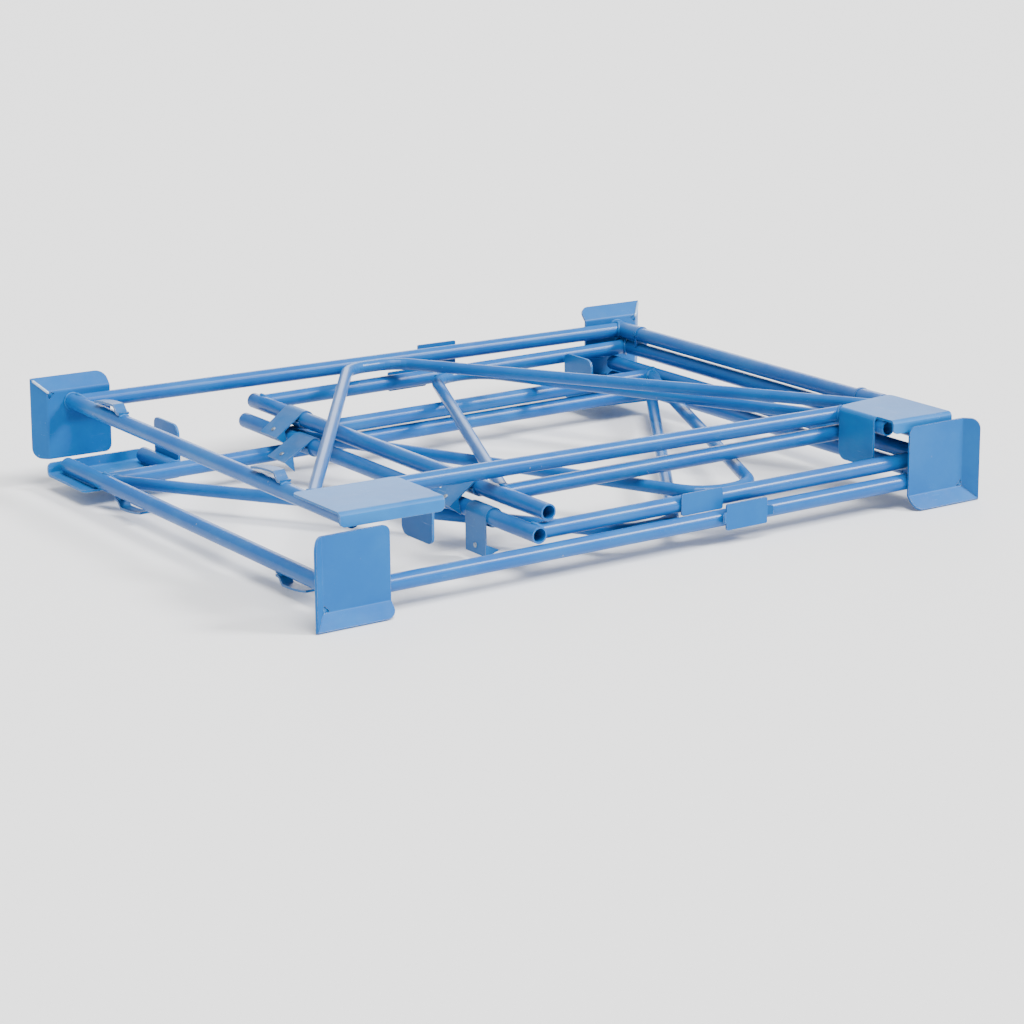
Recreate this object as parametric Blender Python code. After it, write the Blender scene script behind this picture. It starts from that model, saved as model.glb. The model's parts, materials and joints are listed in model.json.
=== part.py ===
"""Folding steel pallet collar, folded flat: two identical half frames stacked on each other.
Each half is a side frame with corner trays and feet, and a gate that swings on it.
Local axes of a half: u along the side frame from its free leg, v up the legs, w outward."""
import math

import bmesh
import bpy
from mathutils import Matrix, Vector

# main dimensions of a half, in metres
HINGE_U = 1.150
GATE_LEG_U = 0.348
TUBE_OD = 0.0269
TUBE_WALL = 0.0026
BRACE_OD = 0.0213
BRACE_WALL = 0.0024
STUB_OD = 0.030
SLEEVE_OD = 0.0324
GAP = 0.0003
BOTTOM_RAIL_V = 0.135
TOP_RAIL_V = 0.916
GATE_DROP = 0.018
GATE_STAND = 0.022
GATE_BOTTOM_V = 0.135

# corner trays, feet and small plates
SHEET = 0.004
BEND_R = 0.006
TRAY_SIDE = 0.1145
TRAY_OVER = 0.0425
TRAY_RISE = 0.019
TRAY_NOTCH = 0.010
FLARE_LEN = 0.0325
FLARE_ANGLE = math.radians(45)
FLARE_ROUND = 0.018
TRAY_ROUND = 0.012
FOOT_TOP = 0.125
FOOT_HINGE_TOP = 0.142
FOOT_DROP = 0.016
FOOT_OUT = 0.031
FOOT_FREE_IN = 0.158
FOOT_HINGE_IN = 0.131
FOOT_HINGE_OUT = 0.004
LIP_DEPTH = 0.023
CHEEK_LOW = 0.026
CHEEK_STEP = 0.012
CHEEK_DEPTH = 0.0875
STUB_LOW = 0.009
MID_PLATE_LEN = 0.082
MID_PLATE_T = 0.003
MID_PLATE_U = 0.740
GATE_PLATE_U = 0.664

# braces
APEX_FLAT = 0.100
BRACE_BEND = 0.070
ARM_CORNER = 0.010

# hinge
HINGE_STUB_LEN = 0.062
TOP_PIN_LEN = 0.048
SLEEVE_LOW = 0.152
SLEEVE_LEN = 0.056
LUG_T = 0.005
POST_LOW = 0.020
PIN_BEVEL = 0.002

# latches and their catches
LATCH_W = 0.057
LATCH_T = 0.0025
LATCH_LOW_V = 0.188
LATCH_DROP = 0.179
TONGUE = 0.062
HOOK_LEN = 0.026
HOOK_BASE = 0.020
EYE_LEN = 0.090
EYE_W = 0.020
EYE_RISE = 0.011
EYE_OPEN = 0.004
EYE_LOW_V = 0.197
EYE_DROP = 0.181

# rest placement of the halves in the folded stack
LOWER_X = 0.022
UPPER_X = 0.047
UPPER_Y = 0.005
STACK_STEP = 0.027
UPPER_TILT = math.radians(0.75)

TUBE_R = TUBE_OD / 2
BRACE_R = BRACE_OD / 2
STUB_R = STUB_OD / 2
SLEEVE_R = SLEEVE_OD / 2
PIN_R = TUBE_R - TUBE_WALL - GAP
GATE_RAIL_V = TOP_RAIL_V - GATE_DROP
GATE_LEG_TOP = GATE_RAIL_V + GATE_STAND
TRAY_TOP = TOP_RAIL_V + TRAY_RISE
HINGE_STUB_LOW = TOP_RAIL_V - HINGE_STUB_LEN
PIN_LOW = HINGE_STUB_LOW - TOP_PIN_LEN
LATCH_HIGH_V = TOP_RAIL_V - LATCH_DROP
EYE_HIGH_V = TOP_RAIL_V - EYE_DROP
LOWER_Y = UPPER_Y + TRAY_TOP - STACK_STEP
CHEEK_HIGH = FOOT_TOP - CHEEK_STEP
SEAT_W = TUBE_R + GAP
LOWER_RISE = SEAT_W + SHEET
GATE_W = -(SLEEVE_R + TUBE_R + GAP)
LATCH_R = TUBE_R + GAP + LATCH_T
UPPER_RISE = LOWER_RISE - 2 * GATE_W + TUBE_R + LATCH_R + 0.0004
FLARE_REACH = (BEND_R + SHEET / 2) * math.sin(FLARE_ANGLE)
FLARE_REACH += (FLARE_LEN - BEND_R * FLARE_ANGLE) * math.cos(FLARE_ANGLE)
FLOOR_Z = FLARE_REACH
ORIGIN_Y = (LOWER_Y + UPPER_Y) / 2
LEFT_END = LOWER_X - TRAY_OVER - FLARE_REACH
RIGHT_END = UPPER_X + HINGE_U + (TRAY_OVER + FLARE_REACH) * math.cos(UPPER_TILT)
RIGHT_END += (LOWER_RISE + FLARE_REACH) * math.sin(UPPER_TILT)
ORIGIN_X = (LEFT_END + RIGHT_END) / 2
SEG = 36

for ob in list(bpy.data.objects):
    bpy.data.objects.remove(ob, do_unlink=True)


def material(name, color, metallic, rough, coat=0.0):
    mat = bpy.data.materials.new(name)
    mat.use_nodes = True
    bsdf = mat.node_tree.nodes["Principled BSDF"]
    bsdf.inputs["Base Color"].default_value = (*color, 1)
    bsdf.inputs["Metallic"].default_value = metallic
    bsdf.inputs["Roughness"].default_value = rough
    bsdf.inputs["Coat Weight"].default_value = coat
    return mat


PAINT_TUBE = material("blue_coat_tube", (0.05, 0.19, 0.48), 0.0, 0.28, 0.4)
PAINT_BRACE = material("blue_coat_brace", (0.05, 0.18, 0.46), 0.0, 0.3, 0.4)
PAINT_SHEET = material("blue_coat_sheet", (0.07, 0.22, 0.5), 0.0, 0.34, 0.3)
PAINT_HINGE = material("blue_coat_hinge", (0.045, 0.17, 0.44), 0.0, 0.32, 0.3)
PAINT_LATCH = material("blue_coat_latch", (0.05, 0.17, 0.42), 0.0, 0.36, 0.2)
ZINC = material("zinc_rivet", (0.62, 0.64, 0.66), 1.0, 0.35)


def add(name, bm, place, mat, parent, smooth=True):
    bmesh.ops.recalc_face_normals(bm, faces=bm.faces)
    mesh = bpy.data.meshes.new(name)
    bm.to_mesh(mesh)
    bm.free()
    mesh.materials.append(mat)
    if smooth:
        for poly in mesh.polygons:
            poly.use_smooth = True
        mesh.set_sharp_from_angle(angle=math.radians(35))
    ob = bpy.data.objects.new(name, mesh)
    bpy.context.scene.collection.objects.link(ob)
    ob.parent = parent
    base = parent.matrix_world if parent else Matrix()
    mesh.transform(base.inverted() @ place)
    return ob


def empty(name, matrix, parent=None):
    ob = bpy.data.objects.new(name, None)
    ob.empty_display_size = 0.05
    bpy.context.scene.collection.objects.link(ob)
    if parent:
        ob.parent = parent
        ob.matrix_parent_inverse = parent.matrix_world.inverted()
    ob.matrix_world = matrix
    bpy.context.view_layer.update()
    return ob


def bent_path(points, radius, steps=6):
    """Corner points of a bent tube turned into a path with arcs at the bends."""
    pts = [Vector(p) for p in points]
    out = [pts[0]]
    for a, b, c in zip(pts, pts[1:], pts[2:]):
        d0 = (b - a).normalized()
        d1 = (c - b).normalized()
        turn = d0.angle(d1)
        cut = radius * math.tan(turn / 2)
        start = b - d0 * cut
        side = (d1 - d0 * d0.dot(d1)).normalized()
        for i in range(steps + 1):
            ang = turn * i / steps
            out.append(start + d0 * radius * math.sin(ang) + side * radius * (1 - math.cos(ang)))
    out.append(pts[-1])
    return out


def end_reach(rim, pos, into, drop):
    """How far a tube end at pos must draw back along into, to sit clear of the tubes it is fitted to."""
    reach = 0.0
    for axis, centre, fit in rim:
        room = math.sqrt(max(fit ** 2 - drop ** 2, 0.0))
        step = (centre + math.copysign(room, into[axis]) - pos[axis]) / into[axis]
        reach = max(reach, step)
    return reach


def tube(path, od, wall, cope=((), ()), seg=SEG):
    """Open round tube along a flat path in the u-v plane; cope lists what each end is fitted to:
    (0, u of a tube along v, radius) or (1, v of a tube along u, radius)."""
    path = [Vector(p) for p in path]
    last = len(path) - 1
    bm = bmesh.new()

    def ring(i, radius):
        point = path[i]
        back = (point - path[i - 1]).normalized() if i else (path[1] - point).normalized()
        ahead = (path[i + 1] - point).normalized() if i < last else back
        along = (back + ahead).normalized()
        side = along.cross(Vector((0, 0, 1)))
        rim = cope[0] if i == 0 else cope[1] if i == last else ()
        into = along if i == 0 else -along
        out = []
        for k in range(seg):
            ang = math.tau * k / seg
            drop = radius * math.sin(ang)
            pos = point + side * radius * math.cos(ang) + Vector((0, 0, drop))
            if rim:
                pos += into * end_reach(rim, pos, into, drop)
            out.append(bm.verts.new(pos))
        return out

    def skin(r0, r1):
        for k in range(seg):
            n = (k + 1) % seg
            bm.faces.new((r0[k], r0[n], r1[n], r1[k]))

    outer = [ring(i, od / 2) for i in range(last + 1)]
    inner = [ring(i, od / 2 - wall) for i in range(last + 1)]
    for rings in (outer, inner):
        for r0, r1 in zip(rings, rings[1:]):
            skin(r0, r1)
    for end in (0, last):
        chain = [outer[end], inner[end]]
        if cope[0 if end == 0 else 1]:
            chain.insert(1, ring(end, od / 2 - wall / 2))
        for r0, r1 in zip(chain, chain[1:]):
            skin(r0, r1)
    return bm


def turned(u, w, profile, seg=SEG):
    """Solid turned piece along v from (v, radius) pairs."""
    bm = bmesh.new()
    turn = [math.tau * k / seg for k in range(seg)]
    rings = []
    for v, r in profile:
        rings.append([bm.verts.new((u + r * math.cos(a), v, w + r * math.sin(a))) for a in turn])
    for r0, r1 in zip(rings, rings[1:]):
        for k in range(seg):
            n = (k + 1) % seg
            bm.faces.new((r0[k], r0[n], r1[n], r1[k]))
    bm.faces.new(rings[0])
    bm.faces.new(rings[-1])
    return bm


def rounded(corners, steps=6):
    """Outline from (a, b, radius) corners, each corner turned into an arc."""
    out = []
    count = len(corners)
    for i, (a, b, radius) in enumerate(corners):
        here = Vector((a, b))
        if radius <= 0:
            out.append(here)
            continue
        before = Vector(corners[i - 1][:2])
        after = Vector(corners[(i + 1) % count][:2])
        d0 = (here - before).normalized()
        d1 = (after - here).normalized()
        turn = d0.angle(d1)
        cut = radius * math.tan(turn / 2)
        start = here - d0 * cut
        side = (d1 - d0 * d0.dot(d1)).normalized()
        for k in range(steps + 1):
            ang = turn * k / steps
            out.append(start + d0 * radius * math.sin(ang) + side * radius * (1 - math.cos(ang)))
    return out


def bend(dist, off, radius, angle):
    """Reach and rise of a sheet point that lies dist past the start of a bend, off above the middle."""
    if dist < radius * angle:
        ang = dist / radius
        return (radius - off) * math.sin(ang), radius - (radius - off) * math.cos(ang)
    rest = dist - radius * angle
    reach = radius * math.sin(angle) + rest * math.cos(angle) - off * math.sin(angle)
    return reach, radius * (1 - math.cos(angle)) + rest * math.sin(angle) + off * math.cos(angle)


def sheet(outline, folds, thick, origin, axes, steps=5):
    """Bent sheet from a flat outline; a fold is (axis, sign, start, angle, radius, way).
    Where two folds meet, each flange is drawn to the mitre between them."""
    flat = bmesh.new()
    flat.faces.new([flat.verts.new((p.x, p.y, 0)) for p in outline])
    for axis, sign, start, angle, radius, way in folds:
        for k in range(steps + 1):
            where = start + sign * radius * angle * k / steps
            normal = [0, 0, 0]
            normal[axis] = 1
            point = [0, 0, 0]
            point[axis] = where
            geom = flat.verts[:] + flat.edges[:] + flat.faces[:]
            bmesh.ops.bisect_plane(flat, geom=geom, dist=1e-7, plane_co=point, plane_no=normal)
    flat.verts.ensure_lookup_table()
    flat.verts.index_update()
    spots = [(v.co.x, v.co.y) for v in flat.verts]
    faces = [[v.index for v in f.verts] for f in flat.faces]
    rim = [(e.verts[0].index, e.verts[1].index) for e in flat.edges if e.is_boundary]
    flat.free()
    origin = Vector(origin)
    ax, bx, nx = (Vector(a) for a in axes)
    bm = bmesh.new()
    layers = []
    for off in (-thick / 2, thick / 2):
        layer = []
        for a, b in spots:
            pos = [a, b, off]
            over = sorted([(f[1] * ((a, b)[f[0]] - f[2]), f) for f in folds], key=lambda t: -t[0])
            dist, fold = over[0]
            if dist > 1e-9:
                axis, sign, start, angle, radius, way = fold
                reach, rise = bend(dist, off * way, radius, angle)
                pos[axis] = start + sign * reach
                pos[2] = way * rise
                second, other = over[-1]
                if second > 1e-6 and other[0] != axis:
                    share = second / (dist * math.cos(angle))
                    pos[other[0]] = other[2] + other[1] * share * (reach - GAP)
            layer.append(bm.verts.new(origin + ax * pos[0] + bx * pos[1] + nx * pos[2]))
        layers.append(layer)
    low, high = layers
    for face in faces:
        bm.faces.new([low[i] for i in reversed(face)])
        bm.faces.new([high[i] for i in face])
    for i, j in rim:
        bm.faces.new((low[i], low[j], high[j], high[i]))
    return bm


def tray(flip):
    """Square seat on a leg top with two flared guide flanges; flip mirrors it for the hinge end."""
    full = TRAY_SIDE
    out = FLARE_LEN
    lean = math.cos(FLARE_ANGLE)
    root = 0.004
    notch = TRAY_NOTCH
    corners = [
        (full, 0, 0), (full, full, TRAY_ROUND), (0, full, 0), (-out, full, FLARE_ROUND),
        (-out, -lean * out, 0), (-root, -lean * root, 0), (0, notch, 0), (notch, 0, 0),
        (-lean * root, -root, 0), (-lean * out, -out, 0), (full, -out, FLARE_ROUND),
    ]
    folds = [(0, -1, 0.0, FLARE_ANGLE, BEND_R, 1), (1, -1, 0.0, FLARE_ANGLE, BEND_R, 1)]
    side = -1 if flip else 1
    edge = HINGE_U + TRAY_OVER if flip else -TRAY_OVER
    origin = (edge, TRAY_TOP - SHEET / 2, SEAT_W + SHEET)
    return sheet(rounded(corners), folds, SHEET, origin, ((side, 0, 0), (0, 0, -1), (0, 1, 0)))


def foot(hinge):
    """Foot plate over the leg bottom with a lip under the leg end and a deep cheek."""
    inner = FOOT_HINGE_IN if hinge else FOOT_FREE_IN
    outer = FOOT_HINGE_OUT if hinge else FOOT_OUT
    half = SHEET / 2
    arc = BEND_R * math.pi / 2
    lip_start = -FOOT_DROP + half + BEND_R
    lip_end = lip_start - (arc + LIP_DEPTH - half - BEND_R)
    cheek_start = inner - half - BEND_R
    cheek_end = cheek_start + arc + CHEEK_DEPTH - half - BEND_R
    corners = [
        (-outer, lip_end, 0.009), (cheek_start, lip_end, 0.009), (cheek_start, lip_start, 0),
        (cheek_start, CHEEK_LOW - 0.003, 0), (cheek_start + 0.001, CHEEK_LOW, 0),
        (cheek_end, CHEEK_LOW, 0.012), (cheek_end, CHEEK_HIGH, 0.016), (cheek_start + 0.001, CHEEK_HIGH, 0),
        (cheek_start, CHEEK_HIGH + 0.003, 0),
    ]
    if hinge:
        corners += [(cheek_start - 0.008, FOOT_TOP - 0.002, 0.006), (-outer, FOOT_HINGE_TOP, 0.010)]
    else:
        corners += [(cheek_start, FOOT_TOP, 0.006), (-outer, FOOT_TOP, 0.010)]
    folds = [(1, -1, lip_start, math.pi / 2, BEND_R, -1), (0, 1, cheek_start, math.pi / 2, BEND_R, -1)]
    side = -1 if hinge else 1
    origin = (HINGE_U if hinge else 0.0, 0.0, SEAT_W + half)
    return sheet(rounded(corners), folds, SHEET, origin, ((side, 0, 0), (0, 1, 0), (0, 0, 1)))


def strip(path, thick, low, high, place_axes):
    """Strip of sheet: a polyline of middle points in (p, q), given thickness, run from low to high."""
    origin, p_ax, q_ax, run = (Vector(a) for a in place_axes)
    pts = [Vector(p) for p in path]
    sides = ([], [])
    for i, point in enumerate(pts):
        back = (point - pts[i - 1]).normalized() if i else (pts[1] - point).normalized()
        ahead = (pts[i + 1] - point).normalized() if i < len(pts) - 1 else back
        mean = back + ahead
        normal = Vector((-mean.y, mean.x)).normalized()
        grow = thick / 2 / max(normal.dot(Vector((-back.y, back.x))), 0.3)
        sides[0].append(point + normal * grow)
        sides[1].append(point - normal * grow)
    bm = bmesh.new()
    rows = []
    for along in (low, high):
        for line in sides:
            rows.append([bm.verts.new(origin + p_ax * p.x + q_ax * p.y + run * along) for p in line])
    low_a, low_b, high_a, high_b = rows
    for i in range(len(pts) - 1):
        bm.faces.new((low_a[i], low_a[i + 1], low_b[i + 1], low_b[i]))
        bm.faces.new((high_a[i], high_b[i], high_b[i + 1], high_a[i + 1]))
        bm.faces.new((low_a[i], high_a[i], high_a[i + 1], low_a[i + 1]))
        bm.faces.new((low_b[i], low_b[i + 1], high_b[i + 1], high_b[i]))
    bm.faces.new((low_a[0], low_b[0], high_b[0], high_a[0]))
    bm.faces.new((low_a[-1], high_a[-1], high_b[-1], low_b[-1]))
    return bm


def eye(base):
    """Catch strip on the free leg: steep welded end, then a ramp down to an open end."""
    low = SEAT_W + SHEET / 2
    high = low + EYE_RISE
    path = [(0, low), (0.007, low)]
    for k in range(1, 6):
        t = k / 5
        path.append((0.007 + 0.014 * t, low + (high - low) * t * t * (3 - 2 * t)))
    for k in range(1, 5):
        t = k / 4
        path.append((0.021 + (EYE_LEN - 0.021) * t, high - (EYE_RISE - EYE_OPEN) * t * t))
    axes = ((0, base, 0), (0, 1, 0), (0, 0, 1), (1, 0, 0))
    return strip(path, SHEET, -EYE_W / 2, EYE_W / 2, axes)


def brace(left, right, apex_v, foot_v, w, right_fit):
    """Bent brace from the apex flat under the top rail down into both bottom corners."""
    mid = (left + right) / 2
    half = APEX_FLAT / 2
    points = [(left + ARM_CORNER, foot_v, w), (mid - half, apex_v, w),
              (mid + half, apex_v, w), (right - ARM_CORNER, foot_v, w)]
    fit = TUBE_R + GAP
    rims = (((1, foot_v, fit), (0, left, fit)), ((1, foot_v, fit), (0, right, right_fit)))
    return tube(bent_path(points, BRACE_BEND), BRACE_OD, BRACE_WALL, rims, 28)


def lug(v0, hole, outer):
    """Link plate round the hinge tube, fitted to the gate leg beside it."""
    bm = bmesh.new()
    count = 48
    width = outer * 0.8
    fit = TUBE_R + GAP
    rings = []
    for v in (v0, v0 + LUG_T):
        for kind in ("hole", "rim"):
            ring = []
            for k in range(count):
                ang = math.tau * k / count
                du = math.sin(ang)
                dw = -math.cos(ang)
                reach = hole
                if kind == "rim":
                    reach = outer
                    if dw < 0:
                        side = width / max(abs(du), 1e-6)
                        proj = GATE_W * dw
                        miss = (GATE_W * du) ** 2
                        if miss < fit * fit:
                            side = min(side, proj - math.sqrt(fit * fit - miss))
                        if side > outer or proj - fit < outer:
                            reach = max(min(side, -GATE_W), outer) if side > outer else side
                    if dw < 0 and (GATE_W * du) ** 2 < fit * fit:
                        near = GATE_W * dw - math.sqrt(fit * fit - (GATE_W * du) ** 2)
                        reach = min(reach, near)
                ring.append(bm.verts.new((HINGE_U + reach * du, v, reach * dw)))
            rings.append(ring)
    h0, r0, h1, r1 = rings
    for k in range(count):
        n = (k + 1) % count
        bm.faces.new((h0[k], h0[n], r0[n], r0[k]))
        bm.faces.new((h1[k], r1[k], r1[n], h1[n]))
        bm.faces.new((h0[k], h1[k], h1[n], h0[n]))
        bm.faces.new((r0[k], r0[n], r1[n], r1[k]))
    return bm


def plate(length, low_w, high_w, centre_u, v0, ears):
    """Small plate on a top rail, with two little ears turned down at its ends when asked."""
    half = length / 2
    wide = high_w - low_w
    corners = [(-half, 0, 0.004), (half, 0, 0.004), (half, wide, 0.004), (-half, wide, 0.004)]
    folds = [(0, 1, 1.0, 0.5, 0.005, -1)]
    if ears:
        start = half
        reach = 0.011
        in0 = wide * 0.30
        in1 = wide * 0.72
        corners = [
            (-half, 0, 0.003), (half, 0, 0.003), (half, in0, 0), (half + reach, in0 + 0.002, 0.002),
            (half + reach, in1 - 0.002, 0.002), (half, in1, 0), (half, wide, 0.003), (-half, wide, 0.003),
            (-half, in1, 0), (-half - reach, in1 - 0.002, 0.002), (-half - reach, in0 + 0.002, 0.002),
            (-half, in0, 0),
        ]
        folds = [(0, 1, start, 0.7, 0.004, 1), (0, -1, -start, 0.7, 0.004, 1)]
    origin = (centre_u, v0 + MID_PLATE_T / 2, low_w)
    return sheet(rounded(corners), folds, MID_PLATE_T, origin, ((1, 0, 0), (0, 0, 1), (0, 1, 0)))


def latch(base_v, turn, hand):
    """Latch strap round the gate leg; turn 0 points its tongue to +w, hand 1 puts it on the -u side."""
    ring_r = TUBE_R + GAP + LATCH_T / 2
    path = [(TONGUE, ring_r), (TONGUE * 0.5, ring_r)]
    for k in range(31):
        ang = math.radians(90 + 300 * k / 30)
        path.append((ring_r * math.cos(ang), ring_r * math.sin(ang)))
    c = math.cos(turn)
    s = math.sin(turn)
    axes = ((GATE_LEG_U, 0, GATE_W), (-s, 0, c), (-c * hand, 0, -s * hand), (0, 1, 0))
    bm = strip(path, LATCH_T, base_v, base_v + LATCH_W, axes)
    return bm, axes


def hook(base_v, axes, hand):
    """Triangular hook plate at the tongue end."""
    origin, p_ax, q_ax, run = (Vector(a) for a in axes)
    face = TUBE_R + GAP + LATCH_T / 2
    tri = [(TONGUE - HOOK_BASE, face), (TONGUE, face), (TONGUE - HOOK_BASE * 0.4, face - HOOK_LEN)]
    bm = bmesh.new()
    rows = []
    low = base_v + LATCH_W - LATCH_T if hand > 0 else base_v
    for along in (low, low + LATCH_T):
        rows.append([bm.verts.new(origin + p_ax * p + q_ax * q + run * along) for p, q in tri])
    bm.faces.new(rows[0])
    bm.faces.new(rows[1])
    for k in range(3):
        n = (k + 1) % 3
        bm.faces.new((rows[0][k], rows[0][n], rows[1][n], rows[1][k]))
    return bm


def fuse(bm, other):
    """Two overlapping bodies made one with an exact Boolean union."""
    pair = []
    for source in (bm, other):
        bmesh.ops.recalc_face_normals(source, faces=source.faces)
        mesh = bpy.data.meshes.new("fuse")
        source.to_mesh(mesh)
        source.free()
        ob = bpy.data.objects.new("fuse", mesh)
        bpy.context.scene.collection.objects.link(ob)
        pair.append(ob)
    mod = pair[0].modifiers.new("union", "BOOLEAN")
    mod.operation = "UNION"
    mod.solver = "EXACT"
    mod.object = pair[1]
    bpy.context.view_layer.update()
    done = pair[0].evaluated_get(bpy.context.evaluated_depsgraph_get())
    out = bmesh.new()
    out.from_mesh(done.to_mesh())
    done.to_mesh_clear()
    for ob in pair:
        bpy.data.objects.remove(ob, do_unlink=True)
    return out


def rivet(base_v, axes):
    origin, p_ax, q_ax, run = (Vector(a) for a in axes)
    centre = origin + p_ax * (TONGUE - 0.014) + run * (base_v + LATCH_W * 0.5)
    centre += q_ax * (TUBE_R + GAP + LATCH_T + GAP)
    bm = bmesh.new()
    rings = []
    for rise, radius in ((0.0, 0.0045), (0.0012, 0.0042), (0.002, 0.003)):
        ring = []
        for k in range(16):
            ang = math.tau * k / 16
            spot = centre + q_ax * rise + p_ax * radius * math.cos(ang) + run * radius * math.sin(ang)
            ring.append(bm.verts.new(spot))
        rings.append(ring)
    for r0, r1 in zip(rings, rings[1:]):
        for k in range(16):
            n = (k + 1) % 16
            bm.faces.new((r0[k], r0[n], r1[n], r1[k]))
    bm.faces.new(rings[0])
    bm.faces.new(rings[-1])
    return bm


def side_frame(tag, place, parent):
    """Side frame of a half: tubes, brace, trays, feet, hinge stub and post, catches."""
    fit = TUBE_R + GAP
    seat = TRAY_TOP - SHEET
    post_top = SLEEVE_LOW + SLEEVE_LEN + 0.030
    parts = {
        "free_leg": (tube([(0, 0, 0), (0, seat - GAP, 0)], TUBE_OD, TUBE_WALL), PAINT_TUBE),
        "top_rail": (tube([(0, TOP_RAIL_V, 0), (HINGE_U, TOP_RAIL_V, 0)], TUBE_OD, TUBE_WALL,
                          ([(0, 0, fit)], [(0, HINGE_U, STUB_R + GAP)])), PAINT_TUBE),
        "bottom_rail": (tube([(0, BOTTOM_RAIL_V, 0), (HINGE_U, BOTTOM_RAIL_V, 0)], TUBE_OD, TUBE_WALL,
                             ([(0, 0, fit)], [(0, HINGE_U, PIN_R + GAP)])), PAINT_TUBE),
        "brace": (brace(0, HINGE_U, TOP_RAIL_V - TUBE_R - BRACE_R - GAP, BOTTOM_RAIL_V, 0,
                        SLEEVE_R + 2 * GAP), PAINT_BRACE),
        "tray_free": (tray(False), PAINT_SHEET),
        "tray_hinge": (tray(True), PAINT_SHEET),
        "foot_free": (foot(False), PAINT_SHEET),
        "foot_hinge": (foot(True), PAINT_SHEET),
        "hinge_stub": (turned(HINGE_U, 0, [
            (PIN_LOW, PIN_R - PIN_BEVEL), (PIN_LOW + PIN_BEVEL, PIN_R), (HINGE_STUB_LOW, PIN_R),
            (HINGE_STUB_LOW, STUB_R), (seat - GAP, STUB_R)]), PAINT_HINGE),
        "hinge_base": (tube([(HINGE_U, 0, 0), (HINGE_U, BOTTOM_RAIL_V - fit, 0)], TUBE_OD, TUBE_WALL),
                       PAINT_TUBE),
        "hinge_post": (turned(HINGE_U, 0, [
            (POST_LOW, PIN_R - PIN_BEVEL), (POST_LOW + PIN_BEVEL, PIN_R), (post_top - PIN_BEVEL, PIN_R),
            (post_top, PIN_R - PIN_BEVEL)]), PAINT_HINGE),
        "mid_plate": (plate(MID_PLATE_LEN, -0.0255, 0.0175, MID_PLATE_U, TOP_RAIL_V + fit, True),
                      PAINT_SHEET),
        "eye_lower": (eye(EYE_LOW_V), PAINT_LATCH),
        "eye_upper": (eye(EYE_HIGH_V), PAINT_LATCH),
    }
    low = BOTTOM_RAIL_V
    for kind, u in (("free", FOOT_FREE_IN - SHEET - fit), ("hinge", HINGE_U - FOOT_HINGE_IN + SHEET + fit)):
        stub = tube([(u, STUB_LOW, 0), (u, low, 0)], TUBE_OD, TUBE_WALL, ((), [(1, low, fit)]))
        parts["stub_" + kind] = (stub, PAINT_TUBE)
    for name, (bm, mat) in parts.items():
        add(tag + "_side_" + name, bm, place, mat, parent)


def gate(tag, place, parent):
    """Gate of a half: frame, brace, hinge tube with sleeve and lugs."""
    fit = TUBE_R + GAP
    w = GATE_W
    legs = (GATE_LEG_U, HINGE_U)
    rims = ([(0, legs[0], fit)], [(0, legs[1], fit)])
    sleeve_top = SLEEVE_LOW + SLEEVE_LEN
    top_lug = HINGE_STUB_LOW - GAP - LUG_T
    parts = {
        "free_leg": (tube([(legs[0], 0, w), (legs[0], GATE_LEG_TOP, w)], TUBE_OD, TUBE_WALL), PAINT_TUBE),
        "hinge_leg": (tube([(legs[1], 0, w), (legs[1], GATE_LEG_TOP, w)], TUBE_OD, TUBE_WALL), PAINT_TUBE),
        "top_rail": (tube([(legs[0], GATE_RAIL_V, w), (legs[1], GATE_RAIL_V, w)], TUBE_OD, TUBE_WALL,
                          rims), PAINT_TUBE),
        "bottom_rail": (tube([(legs[0], GATE_BOTTOM_V, w), (legs[1], GATE_BOTTOM_V, w)], TUBE_OD,
                             TUBE_WALL, rims), PAINT_TUBE),
        "brace": (brace(legs[0], legs[1], GATE_RAIL_V - TUBE_R - BRACE_R - GAP, GATE_BOTTOM_V, w, fit),
                  PAINT_BRACE),
        "hinge_tube": (tube([(HINGE_U, sleeve_top - 0.020, 0), (HINGE_U, top_lug - GAP, 0)],
                            TUBE_OD, TUBE_WALL), PAINT_HINGE),
        "sleeve": (tube([(HINGE_U, SLEEVE_LOW, 0), (HINGE_U, sleeve_top, 0)], SLEEVE_OD,
                        SLEEVE_R - TUBE_R - GAP), PAINT_HINGE),
        "lug_top": (lug(top_lug, PIN_R + GAP, 0.016), PAINT_HINGE),
        "lug_bottom": (lug(sleeve_top + GAP, TUBE_R + GAP, 0.0175), PAINT_HINGE),
        "mid_plate": (plate(MID_PLATE_LEN, w - 0.020, -TUBE_R - 0.001, GATE_PLATE_U, GATE_RAIL_V + fit,
                            False), PAINT_SHEET),
    }
    for name, (bm, mat) in parts.items():
        add(tag + "_gate_" + name, bm, place, mat, parent)


def latches(tag, place, parent, turns, hand):
    """The two latch straps of a gate, each on its own pivot empty."""
    for name, base, turn in zip(("low", "high"), (LATCH_LOW_V, LATCH_HIGH_V), turns):
        pivot = empty(tag + "_latch_" + name + "_pivot", place @ Matrix.Translation(
            (GATE_LEG_U, base + LATCH_W / 2, GATE_W)), parent)
        body, axes = latch(base, math.radians(turn), hand)
        add(tag + "_latch_" + name, fuse(body, hook(base, axes, hand)), place, PAINT_LATCH, pivot)
        add(tag + "_latch_" + name + "_rivet", rivet(base, axes), place, ZINC, pivot)


def place_lower():
    flip = Matrix.Rotation(math.pi, 4, "X")
    shift = (LOWER_X - ORIGIN_X, LOWER_Y - ORIGIN_Y, LOWER_RISE + FLOOR_Z)
    return Matrix.Translation(shift) @ flip


def place_upper(tilt):
    shift = (UPPER_X - ORIGIN_X, UPPER_Y - ORIGIN_Y, UPPER_RISE + FLOOR_Z)
    about = Matrix.Translation((HINGE_U, 0, 0))
    return Matrix.Translation(shift) @ about @ Matrix.Rotation(tilt, 4, "Y") @ about.inverted()


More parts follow.
